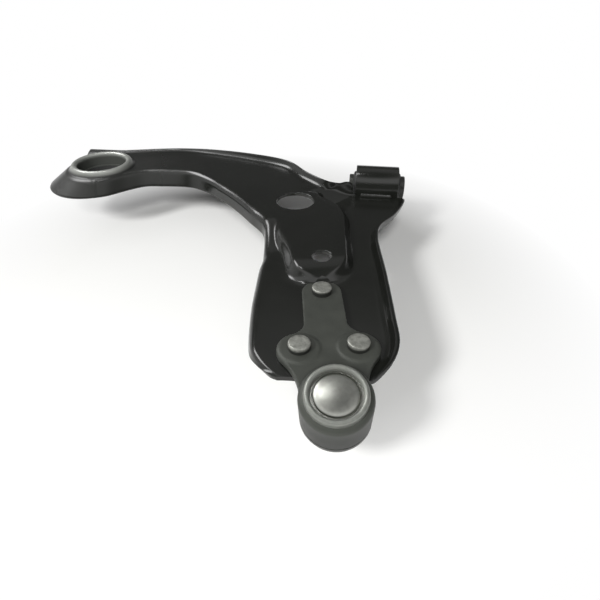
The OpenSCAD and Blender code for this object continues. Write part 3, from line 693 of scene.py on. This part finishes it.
oxide = steels["black_oxide_sleeve"]
rubber = soft["moulded_black_rubber"]
tube = pipe("bush_tube", *TUBE, -TUBE_HALF, TUBE_HALF, along_x, coat, 0.6)
outer_sleeve = pipe("bush_outer_sleeve", *OUTER_SLEEVE, -TUBE_HALF, TUBE_HALF, along_x, oxide, 0.4)
inner_sleeve = pipe("bush_inner_sleeve", *INNER_SLEEVE, -SLEEVE_HALF, SLEEVE_HALF, along_x, oxide, 0.8)
half = round_corners([(12.02, 0, 0), (16.84, 0, 0), (16.84, 21.6, 0.8), (15.4, 22.2, 0.8), (14.9, 24, 1.2),
                      (13.2, 25, 1.2), (12.02, 25, 0.3)])[1:]
front_rubber = lathe("bush_rubber", half + [(r, -h) for r, h in reversed(half)], along_x, rubber, turns=ROUND)
for piece, body, node, finish in (
    (tube, "arm", "front_bush_tube", "black_coat"),
    (outer_sleeve, "arm", "front_bush_outer_sleeve", "bright_steel"),
    (inner_sleeve, "front_sleeve", "front_bush_inner_sleeve", "bright_steel"),
    (front_rubber, "arm", "front_bush_rubber", "rubber"),
):
    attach(piece, body)
    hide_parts(node)
print("front bush:", [p.name for p in (tube, outer_sleeve, inner_sleeve, front_rubber)])

# %% [markdown]
# ## The weld beads
# A weld is a row of frozen ripples, each a little uneven. Geometry Nodes repeat one flattened drop along the
# seam at a fixed pitch with a fixed seed, and the drops overlap into a bead. The tree has named inputs for
# its sizes, and serves the bead above the sheet and the one below it.

# %% Tools for Geometry Nodes


def new_tree(name, sockets):
    """A Geometry Nodes tree with named inputs, each (name, kind, default)."""
    tree = bpy.data.node_groups.new(name, "GeometryNodeTree")
    for way in ("INPUT", "OUTPUT"):
        tree.interface.new_socket("Geometry", in_out=way, socket_type="NodeSocketGeometry")
    for label, kind, value in sockets:
        socket = tree.interface.new_socket(label, in_out="INPUT", socket_type="NodeSocket" + kind)
        if value is not None:
            socket.default_value = value
    return tree, tree.nodes.new("NodeGroupInput").outputs


def grow(obj, tree, values):
    """Runs a tree on an object, with inputs set by identifier, and keeps the result as a plain mesh."""
    step = obj.modifiers.new(tree.name, "NODES")
    step.node_group = tree
    for item in tree.interface.items_tree:
        if item.in_out == "INPUT" and item.name in values:
            step[item.identifier] = values[item.name]
    return bake(obj)


print("trees get named inputs")

# %% Weld bead by Geometry Nodes
WELD_L = 31
WELD_SHIFT = 0.8

tree, given = new_tree("weld_bead", (
    ("Length", "Float", 0.03), ("Pitch", "Float", 0.0017), ("Drop Radius", "Float", 0.004),
    ("Drop Length", "Float", 0.0026), ("Unevenness", "Float", 0.12), ("Seed", "Int", 4),
    ("Material", "Material", None)))
count = add(tree, "Math", [given["Length"], given["Pitch"]], operation="DIVIDE")
pace = add(tree, "CombineXYZ", [given["Pitch"]])
seam = add(tree, "GeometryNodeMeshLine", {"Count": count, "Offset": pace}, mode="OFFSET")
drop = add(tree, "GeometryNodeMeshUVSphere", {"Segments": 20, "Rings": 12, "Radius": 1.0})
flat = add(tree, "CombineXYZ", [given["Drop Length"], given["Drop Radius"], given["Drop Radius"]])
shaped = add(tree, "GeometryNodeTransform", {"Geometry": drop, "Scale": flat})
least = add(tree, "Math", [1.0, given["Unevenness"]], operation="SUBTRACT")
uneven = add(tree, "FunctionNodeRandomValue", {"Min": least, "Max": 1.0, "Seed": given["Seed"]})
drops = add(tree, "GeometryNodeInstanceOnPoints", {"Points": seam, "Instance": shaped, "Scale": uneven})
solid = add(tree, "GeometryNodeRealizeInstances", {"Geometry": drops})
smooth = add(tree, "GeometryNodeSetShadeSmooth", {"Geometry": solid})
painted = add(tree, "GeometryNodeSetMaterial", {"Geometry": smooth, "Material": given["Material"]})
add(tree, "NodeGroupOutput", {"Geometry": painted})

for name, node, seam_z, seed in (("weld_above", "front_weld_upper", PLATE_Z, 4),
                                 ("weld_below", "front_weld_lower", PLATE_Z - SHEET_T, 9)):
    bead = new_object(name, bpy.data.meshes.new(name))
    grow(bead, tree, {"Length": WELD_L * MM, "Seed": seed, "Material": coat})
    seam_y = -math.sqrt(TUBE_R ** 2 - seam_z ** 2)
    bead.data.transform(Matrix.Translation(Vector((-WELD_L / 2 + WELD_SHIFT, seam_y, seam_z)) * MM))
    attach(bead, "arm")
    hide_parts(node)
    print(name, len(bead.data.polygons), "faces")

# %% [markdown]
# ## The rear bush
# The rear bush sits deep in its collar: a steel shell, rubber with two kidney-shaped voids that make it soft
# fore and aft, and a steel sleeve. The rubber's faces are dished between shell and sleeve, as bonded rubber
# is, and the voids are cut from it with a bent, round-ended cutter. The sleeve tilts in it by 15 degrees. The
# real rubber shears. Here it is split on a sphere round the tilt's centre: the core goes with the sleeve, and
# a sphere that turns about its own centre opens no gap and cuts into nothing.

# %% Shell, sleeve and rubber of the rear bush
REAR_TOP = 0
SHELL_L = 17
SLEEVE_L = 22
MIDDLE = REAR_TOP - SHELL_L / 2
REAR_SHELL = (24.97, 26.47)
REAR_SLEEVE = (7.1, 11)
DISH_IN, DISH_OUT, DISH_LOW, DISH_DEPTH = 11.05, 24.94, 1.5, 2.2
VOID_R, VOID_W, VOID_HALF = 18, 2.5, 40

plated = steels["phosphated_rear_sleeve"]
rear_shell = pipe("rear_shell", *REAR_SHELL, REAR_TOP - SHELL_L, REAR_TOP, at_rear, plated, 0.4)
rear_sleeve = pipe("rear_sleeve", *REAR_SLEEVE, REAR_TOP - SLEEVE_L, REAR_TOP - 0.5, at_rear, plated, 0.8)
dish = [(DISH_IN + (DISH_OUT - DISH_IN) * u, REAR_TOP - DISH_LOW - DISH_DEPTH * math.sin(math.pi * u))
        for u in np.linspace(0, 1, 13)]
rear_rubber = lathe("rear_rubber", dish + [(r, 2 * MIDDLE - z) for r, z in reversed(dish)], at_rear,
                    turns=ROUND)
for side in (0, 180):
    a0, a1 = side - VOID_HALF, side + VOID_HALF
    start, end = arc((0, 0), VOID_R, a0, a1, 1)
    kidney = (arc((0, 0), VOID_R + VOID_W, a0, a1, 24) + arc(end, VOID_W, a1, a1 + 180, 8)[1:-1]
              + arc((0, 0), VOID_R - VOID_W, a1, a0, 24) + arc(start, VOID_W, a0 + 180, a0 + 360, 8)[1:-1])
    cut(rear_rubber, prism("void", kidney, -40, 20, at_rear))
print("rear rubber:", len(rear_rubber.data.polygons), "faces")

# %% Split of the rear rubber
CORE_R, CORE_GAP = 15.3, 0.03


def ball(r):
    half = [(r * math.sin(t), -r * math.cos(t)) for t in np.linspace(0, math.pi, 49)]
    half[0], half[-1] = (0, -r), (0, r)
    return lathe("ball", half, at_rear @ Matrix.Translation((0, 0, MIDDLE)), turns=ROUND)


rear_core = new_object("rear_rubber_core", rear_rubber.data.copy())
combine(rear_core, ball(CORE_R - CORE_GAP), "INTERSECT")
cut(rear_rubber, ball(CORE_R))
for piece in (rear_rubber, rear_core):
    dress(piece, rubber, 40)
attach(rear_core, "rear_sleeve")
for piece, body, node, finish in (
    (rear_shell, "arm", "rear_bush_shell", "bright_steel"),
    (rear_rubber, "arm", "rear_bush_rubber", "rubber"),
    (rear_sleeve, "rear_sleeve", "rear_bush_inner_sleeve", "bright_steel"),
):
    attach(piece, body)
    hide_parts(node)
print("rear bush:", [p.name for p in (rear_shell, rear_rubber, rear_core, rear_sleeve)])

# %% [markdown]
# ## The ball joint's forging
# The housing is a forged cup with a three-lobed flange. A forging has no sharp inner corner, so the cup, the
# flange and the raised rivet seats are joined, remeshed to an even net and smoothed a little, which melts
# their corners into fillets. The bore, whose mouth is chamfered to let the stud swing, and the rolled lip are
# machined and rolled afterwards, so they are cut and added after the smoothing.

# %% Outline of the flange
FLANGE_T = 5
FLANGE_TOP = PLATE_Z + FLANGE_T
LOBE_R = 15
NECK_FILLET = 12
WAIST_R = 44
TAIL_END = 50


def bearing(a, b):
    return math.degrees(math.atan2(b.y - a.y, b.x - a.x))


def flange_side():
    """Half of the flange's outline, from the tail to the housing, as tangent arcs."""
    hub, lobe = Vector((0, 0)), Vector(RIVET_PAIR[1])
    reach = LOBE_R + NECK_FILLET
    mid = Vector((reach, lobe.y + math.sqrt(reach ** 2 - (reach - lobe.x) ** 2)))
    meet = bearing(lobe, mid)
    hub_r = HOUSING_R - BALL_SHIFT - 0.5
    out = lobe.normalized()
    far = hub_r + WAIST_R
    along = (far ** 2 - (LOBE_R + WAIST_R) ** 2 + lobe.length_squared) / (2 * lobe.length)
    waist = along * out + math.sqrt(far ** 2 - along ** 2) * Vector((out.y, -out.x))
    leave, last = bearing(lobe, waist), bearing(hub, waist)
    return (arc(RIVET_TAIL, LOBE_R, TAIL_END, 0, 12) + arc(mid, NECK_FILLET, 180, meet + 180, 12)[1:]
            + arc(lobe, LOBE_R, meet, leave, 20)[1:] + arc(waist, WAIST_R, leave + 180, last + 180, 10)[1:]
            + arc(hub, hub_r, last, -90, 12)[1:])


right = flange_side()
flange = right + [(-x, y) for x, y in reversed(right[:-1])]
print("flange outline:", len(flange), "points")

# %% Forged body
SEAT_H = 0.8
SEAT_TOP = FLANGE_TOP + SEAT_H
LIP_R = 16.4
HOUSING_LOW = 14
NET_SIZE = 0.62
SHOULDER_R = 3.5
GROOVE_R = 18.75              # the boot's groove under the cup

forging = prism("ball_joint_forging", flange, PLATE_Z, FLANGE_TOP, at_joint)
seat = [(0, PLATE_Z + 1), (LOBE_R - 0.4, PLATE_Z + 1), (LOBE_R - 0.6, FLANGE_TOP), (LOBE_R - 2, SEAT_TOP),
        (0, SEAT_TOP)]
for place in rivet_places[1:]:
    combine(forging, lathe("seat", seat, place, turns=72), "UNION")
cup = [(0, -HOUSING_LOW), (GROOVE_R + 0.8, -HOUSING_LOW), (GROOVE_R + 0.8, -HOUSING_LOW + 1),
       (GROOVE_R, -HOUSING_LOW + 1), (GROOVE_R, -9), (HOUSING_R, -9)]
cup += arc((HOUSING_R - SHOULDER_R, 11.2), SHOULDER_R, 0, 80, 8) + [(LIP_R + 1.5, 15.4), (0, 15.4)]
combine(forging, lathe("cup", cup, at_stud, turns=ROUND), "UNION")
net = forging.modifiers.new("net", "REMESH")
net.mode = "VOXEL"
net.voxel_size = NET_SIZE * MM
melt = forging.modifiers.new("melt", "SMOOTH")
melt.factor = 0.5
melt.iterations = 7
bake(forging)
print("forging:", len(forging.data.polygons), "faces")

# %% Bore, rivet holes and rolled lip
LIP_TOP = 19
LIP_CREST_R = 17.1
LIP_ROUND = 1.8
MOUTH_R = 14                  # of the opening in the lip
BORE_R = 16.03


def take_in(obj, other, material_index=0):
    """Adds another shape's faces to a piece's mesh as they are, in one of its material slots."""
    both = bmesh.new()
    both.from_mesh(obj.data)
    own = len(both.faces)
    both.from_mesh(other.data)
    for face in list(both.faces)[own:]:
        face.material_index = material_index
    both.to_mesh(obj.data)
    both.free()
    bpy.data.objects.remove(other)
    return obj


cavity = [(0, -30), (15.2, -30), (15.2, -15), (13.7, -13.2), (12.9, -8), (BORE_R, -8), (BORE_R, 16.4),
          (MOUTH_R, 16.4), (MOUTH_R, 30), (0, 30)]
cut(forging, lathe("cavity", cavity, at_stud, turns=ROUND))
for place in rivet_places:
    cut(forging, plug(RIVET_HOLE_R, 40, place, 48))
dress(forging, phosphate, 40)
crest = arc((LIP_CREST_R, LIP_TOP - LIP_ROUND - 0.1), LIP_ROUND, -10, 200, 24)
lip = lathe("rolled_lip", [(19.3, 13.8)] + crest + [(15.3, 15.62), (15.3, 13.8)], at_stud,
            steels["burnished_rolled_lip"], turns=ROUND)
forging.data.materials.append(steels["burnished_rolled_lip"])
take_in(forging, lip, material_index=1)
forging.data.set_sharp_from_angle(angle=math.radians(40))
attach(forging, "arm")
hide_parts("ball_joint_housing")
print("finished forging:", len(forging.data.polygons), "faces")

# %% [markdown]
# ## Cap, stud and race
# The lip is rolled over a domed cap with a raised rim. Under it the ball turns in its plastic race, and the
# stud comes out below with a groove for the clamp's bolt. These are lathe shapes round the leaning axis. The
# solid of the race is right as it is and only gets its finish.

# %% Closing cap, ball stud and race
CAP_R = 13.6
CAP_LOW, CAP_RIM, CAP_TOP = 13.23, 15.7, 18.2
BALL_R = 12.5
PIN_R = 8
PIN_END = -52

dome = [(CAP_R * math.sin(t), CAP_RIM + (CAP_TOP - CAP_RIM) * math.cos(t))
        for t in np.linspace(math.pi / 2, 0, 25)[:-1]]
rim = [(0, CAP_LOW), (16, CAP_LOW), (16, 15.6), (CAP_R + 0.6, 15.6), (CAP_R + 0.3, 15.2), (CAP_R, 15.2)]
cap = lathe("domed_closing_cap", rim + dome + [(0, CAP_TOP)], at_stud, steels["polished_steel_cap"],
            turns=ROUND)
groove = arc((11, -43.5), 5, 233, 127, 10)
pin = [(0, PIN_END), (6.5, PIN_END), (PIN_R, PIN_END + 1.5)] + groove
neck = [(PIN_R, -35), (PIN_R + 1, -35), (PIN_R + 1, -22), (6.5, -13)]
stud = lathe("ball_and_stud", arc((0, 0), BALL_R, -58.67, 61, 30) + [(0, 11)] + pin + neck, at_stud,
             steels["ground_steel_stud"])
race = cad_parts["ball_seat"]
race.data.materials.clear()
race.data.materials.append(soft["natural_acetal"])
for piece, body, node, finish in (
    (cap, "arm", "closing_cap", "bright_steel"),
    (stud, "stud", "ball_stud", "bright_steel"),
):
    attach(piece, body)
    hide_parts(node)
print("cap and stud:", len(cap.data.polygons), len(stud.data.polygons), "faces")

# %% [markdown]
# ## The dust boot
# The boot keeps dirt out of the ball. The real one is a thin moulded bellows, so its profile runs in and out
# over its folds between a bead in the housing's groove and a lip on the stud. The real one bends between the
# arm and the ring on the stud, but here it is one fixed mesh on no body. Its two wire clamps are small rings.

# %% Boot and rings
BOOT_T = 1.7
HOUSING_CLAMP = (21.38, 22.18)
STUD_CLAMP = (11.53, 12.33)


def curve_through(points, steps=6):
    """Points on a smooth curve through given points."""
    p = [np.array(points[max(0, min(len(points) - 1, i))], float) for i in range(-1, len(points) + 2)]
    out = [tuple(glide(*p[i - 1:i + 3], k / steps)) for i in range(1, len(points)) for k in range(steps)]
    return out + [tuple(points[-1])]


folds = curve_through([(21.3, -12.9), (21.4, -15), (20.6, -16.6), (17.9, -18), (18.2, -20), (15.6, -22),
                       (15.8, -24), (13.3, -26), (13.5, -27.8), (11.6, -29.6)])
inside = [tuple(p) for p in offset(folds, BOOT_T) if p[1] < -15.2 and p[0] > 9.2]
boot_profile = ([(18.78, -9.03), (21.3, -9.03)] + folds
                + [(11.5, -33.6), (11.1, -34), (9.4, -34), (9.05, -33.6), (9.05, -29.8)]
                + inside[::-1] + [(19.6, -14.3), (19.6, -12.97), (18.78, -12.97)])
boot = lathe("bellows_boot", boot_profile, at_stud, rubber, sharp=50)
housing_ring = pipe("boot_clamp_on_housing", *HOUSING_CLAMP, -12.6, -9.4, at_stud, oxide, 0.2)
stud_ring = pipe("boot_clamp_on_stud", *STUD_CLAMP, -33, -30.5, at_stud, oxide, 0.2)
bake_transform(boot)
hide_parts("dust_boot")
for piece, body, node in (
    (housing_ring, "arm", "boot_housing_ring"),
    (stud_ring, "stud_ring", "boot_stud_ring"),
):
    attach(piece, body)
    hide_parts(node)
print("boot:", len(boot.data.polygons), "faces")

# %% [markdown]
# ## The rivets
# Three rivets hold the joint. A set rivet has a cheese head with a rolled edge above and an upset head below.
# Geometry Nodes repeat each head at its three places and turn every copy a little, from a fixed seed, so the
# facets of the heads don't line up.

# %% Rivet heads by Geometry Nodes
tree, given = new_tree("set_rivets", (
    ("Head", "Object", None), ("Most Turn", "Float", 3.14), ("Seed", "Int", 2),
    ("Material", "Material", None)))
shape = add(tree, "GeometryNodeObjectInfo", {"Object": given["Head"]}, transform_space="ORIGINAL")
turned = add(tree, "FunctionNodeRandomValue", {"Min": 0.0, "Max": given["Most Turn"], "Seed": given["Seed"]})
spin = add(tree, "CombineXYZ", {"Z": turned})
heads = add(tree, "GeometryNodeInstanceOnPoints", {
    "Points": given["Geometry"], "Instance": shape.outputs["Geometry"], "Rotation": spin})
solid = add(tree, "GeometryNodeRealizeInstances", {"Geometry": heads})
painted = add(tree, "GeometryNodeSetMaterial", {"Geometry": solid, "Material": given["Material"]})
add(tree, "NodeGroupOutput", {"Geometry": painted})
print("tree", tree.name, "has", len(tree.nodes), "nodes")

# %% Three rivets
HEAD_R = 7.5
HEAD_H = 4.75
HEAD_EDGE = 1.1
FOOT_H = 4.5
SHANK_R = 5
GAP = 0.03

head_profile = ([(0, -6), (SHANK_R, -6), (SHANK_R, GAP), (HEAD_R, GAP)]
                + arc((HEAD_R - HEAD_EDGE, HEAD_H - HEAD_EDGE), HEAD_EDGE, 0, 80, 6)
                + [(HEAD_R - 3, HEAD_H - 0.02), (0, HEAD_H - 0.1)])
foot_profile = ([(0, -FOOT_H)] + arc((HEAD_R * 0.62, -FOOT_H + 1.5), 1.5, -90, -20, 5)
                + [(HEAD_R, -1.6), (HEAD_R, -GAP), (0, -GAP)])
satin = steels["satin_steel_rivet"]
rows_of_ends = []
for name, profile, heights in (
    ("rivet_heads", head_profile, (FLANGE_TOP, SEAT_TOP, SEAT_TOP)),
    ("rivet_feet", foot_profile, [PLATE_Z - SHEET_T] * 3),
):
    master = lathe(name + "_master", profile, turns=64)
    spots = bpy.data.meshes.new(name)
    spots.from_pydata([place @ Vector((0, 0, h)) * MM for place, h in zip(rivet_places, heights)], [], [])
    rows_of_ends.append(grow(new_object(name, spots), tree, {"Head": master, "Material": satin}))
    bpy.data.objects.remove(master)
rivets = take_in(*rows_of_ends)
rivets.name = "set_rivets"
dress(rivets, satin, 40)
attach(rivets, "arm")
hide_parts("tail_rivet", "left_rivet", "right_rivet")
print("rivets:", len(rivets.data.polygons), "faces")

# %% [markdown]
# ## Floor, light and camera
# The arm rests on its stud above a pale floor. Near the arm the floor is plain matt paper and keeps the
# shadow. Farther out it turns white for the camera and for reflections, so the background is white with no
# more light on the arm.

# %% Floor
FLOOR_HALF = 8
FLOOR_GAP = 0.0005
PAPER_CENTRE = (-0.12, -0.1)
PAPER_FADE = (0.2, 0.34)

floor_z = cad_box[0][2] - FLOOR_GAP
corners = [(x * FLOOR_HALF, y * FLOOR_HALF, floor_z) for x, y in ((-1, -1), (1, -1), (1, 1), (-1, 1))]
floor = new_object("floor", bpy.data.meshes.new("floor"))
floor.data.from_pydata(corners, [], [(0, 1, 2, 3)])
paper, tree, where = new_material("pale_paper_floor")
centred = add(tree, "Mapping", [where, (*PAPER_CENTRE, floor_z)], vector_type="TEXTURE")
away = add(tree, "VectorMath", [centred], operation="LENGTH")
far = add(tree, "MapRange", [away, *PAPER_FADE])
path = add(tree, "LightPath").outputs
seen = add(tree, "Math", [path["Is Camera Ray"], path["Is Glossy Ray"]], operation="MAXIMUM")
seen = add(tree, "Math", [seen, path["Is Transmission Ray"]], operation="MAXIMUM")
share = add(tree, "Math", [seen, far], operation="MULTIPLY")
matt = add(tree, "BsdfDiffuse", {"Color": "#f4f4f2"})
white = add(tree, "Emission", {"Color": "#ffffff", "Strength": 1.0})
mixed = add(tree, "MixShader", [share, matt, white])
add(tree, "OutputMaterial", [mixed])
floor.data.materials.append(paper)
print("floor at z", round(floor_z * 1000, 1), "mm")

# %% [markdown]
# ### The room
# A gloss coat shows the room it stands in, so the room is drawn by direction: a bright ring of ceiling,
# brightest before the arm, a lit wall on the left and little else. Matt surfaces take only a small share of
# it, so that the shadow under the arm, which its holes look down on, stays dark. The camera sees plain white,
# and reflections see that white as a haze along the horizon.

# %% Room
ROOM_LEVEL = 0.11
CEILING_LEVEL = 1.2
BACK_SHARE = 0.25
LEFT_LEVEL = 0.7
MATT_SHARE = 0.16
RING_LOW, RING_HIGH = (0.58, 0.72), (0.88, 0.99)    # heights over which the ring fades in and out
HAZE = (0.02, 0.22)
BEFORE, LEFT = (-0.35, -0.94, 0), (-0.97, -0.1, 0.2)

world = bpy.data.worlds.new("studio")
world.use_nodes = True
tree = world.node_tree
tree.nodes.clear()
towards = add(tree, "TexCoord").outputs["Generated"]
up = add(tree, "SeparateXYZ", [towards]).outputs["Z"]
rise = add(tree, "MapRange", [up, *RING_LOW], **EASED)
fall = add(tree, "MapRange", [up, *RING_HIGH, 1.0, 0.0], **EASED)
ahead = add(tree, "VectorMath", [towards, BEFORE], operation="DOT_PRODUCT")
front = add(tree, "MapRange", [ahead, -0.45, 0.1, BACK_SHARE * CEILING_LEVEL, CEILING_LEVEL], **EASED)
aside = add(tree, "VectorMath", [towards, LEFT], operation="DOT_PRODUCT")
left = add(tree, "MapRange", [aside, 0.7, 0.95, 0.0, LEFT_LEVEL], **EASED)
ring = add(tree, "Math", [rise, fall], operation="MULTIPLY")
ring = add(tree, "Math", [ring, front, left], operation="MULTIPLY_ADD")
path = add(tree, "LightPath").outputs
shown = add(tree, "MapRange", [path["Is Diffuse Ray"], 0.0, 1.0, 1.0, MATT_SHARE])
level = add(tree, "Math", [ring, ROOM_LEVEL])
level = add(tree, "Math", [level, shown], operation="MULTIPLY")
haze = add(tree, "MapRange", [up, *HAZE, 1.0, 0.0], **EASED)
mirrored = add(tree, "Math", [path["Is Glossy Ray"], path["Is Transmission Ray"]], operation="MAXIMUM")
mirrored = add(tree, "Math", [mirrored, haze], operation="MULTIPLY")
backdrop = add(tree, "Math", [path["Is Camera Ray"], mirrored], operation="MAXIMUM")
level = add(tree, "Math", [level, backdrop], operation="MAXIMUM")
sky = add(tree, "Background", {"Color": "#ffffff", "Strength": level})
add(tree, "OutputWorld", [sky])
bpy.context.scene.world = world
print("room:", len(tree.nodes), "nodes")

# %% [markdown]
# ### Lamps and camera
# Two keys on the camera's side light the arm, and the gloss coat doesn't show them. A softbox and two small
# sparks do the opposite: they only shine in reflections, on the cap, the collar and the bends of the sheet.
# The camera stands where the round features of the photograph put it.

# %% Lamps
AIM = Vector((-0.12, -0.12, 0))
for name, at, size, watts, lights, shines in (
    ("key_left", (-0.85, -1.15, 1.0), 0.35, 19, True, False),
    ("key_right", (0.0, -1.4, 1.0), 0.35, 19, True, False),
    ("softbox_left", (-1.12, 0.3, 1.05), 0.75, 11, False, True),
    ("spark_left", (-0.63, 0.05, 1.47), 0.14, 1.5, False, True),
    ("spark_right", (-0.38, 0.05, 1.5), 0.14, 1.5, False, True),
):
    lamp = bpy.data.lights.new(name, "AREA")
    lamp.shape = "DISK"
    lamp.size = size
    lamp.energy = watts
    stand = new_object(name, lamp)
    stand.location = at
    stand.visible_diffuse = lights
    stand.visible_glossy = shines
    stand.rotation_euler = (AIM - Vector(at)).to_track_quat("-Z", "Y").to_euler()
bpy.context.scene.view_settings.view_transform = "Standard"
print("lamps:", [light.name for light in bpy.data.lights])

# %% Camera
EYE = Vector((-25.2, -472.4, 206.6)) * MM
LOOK = Vector((-0.0973, 0.7809, -0.6170))
lens = bpy.data.cameras.new("photo_camera")
lens.sensor_width = 36
lens.lens = 27
lens.clip_start = 0.01
camera = new_object("photo_camera", lens)
camera.location = EYE
camera.rotation_euler = LOOK.to_track_quat("-Z", "Y").to_euler()
bpy.context.scene.camera = camera
print("camera at", [round(c * 1000, 1) for c in EYE], "mm")
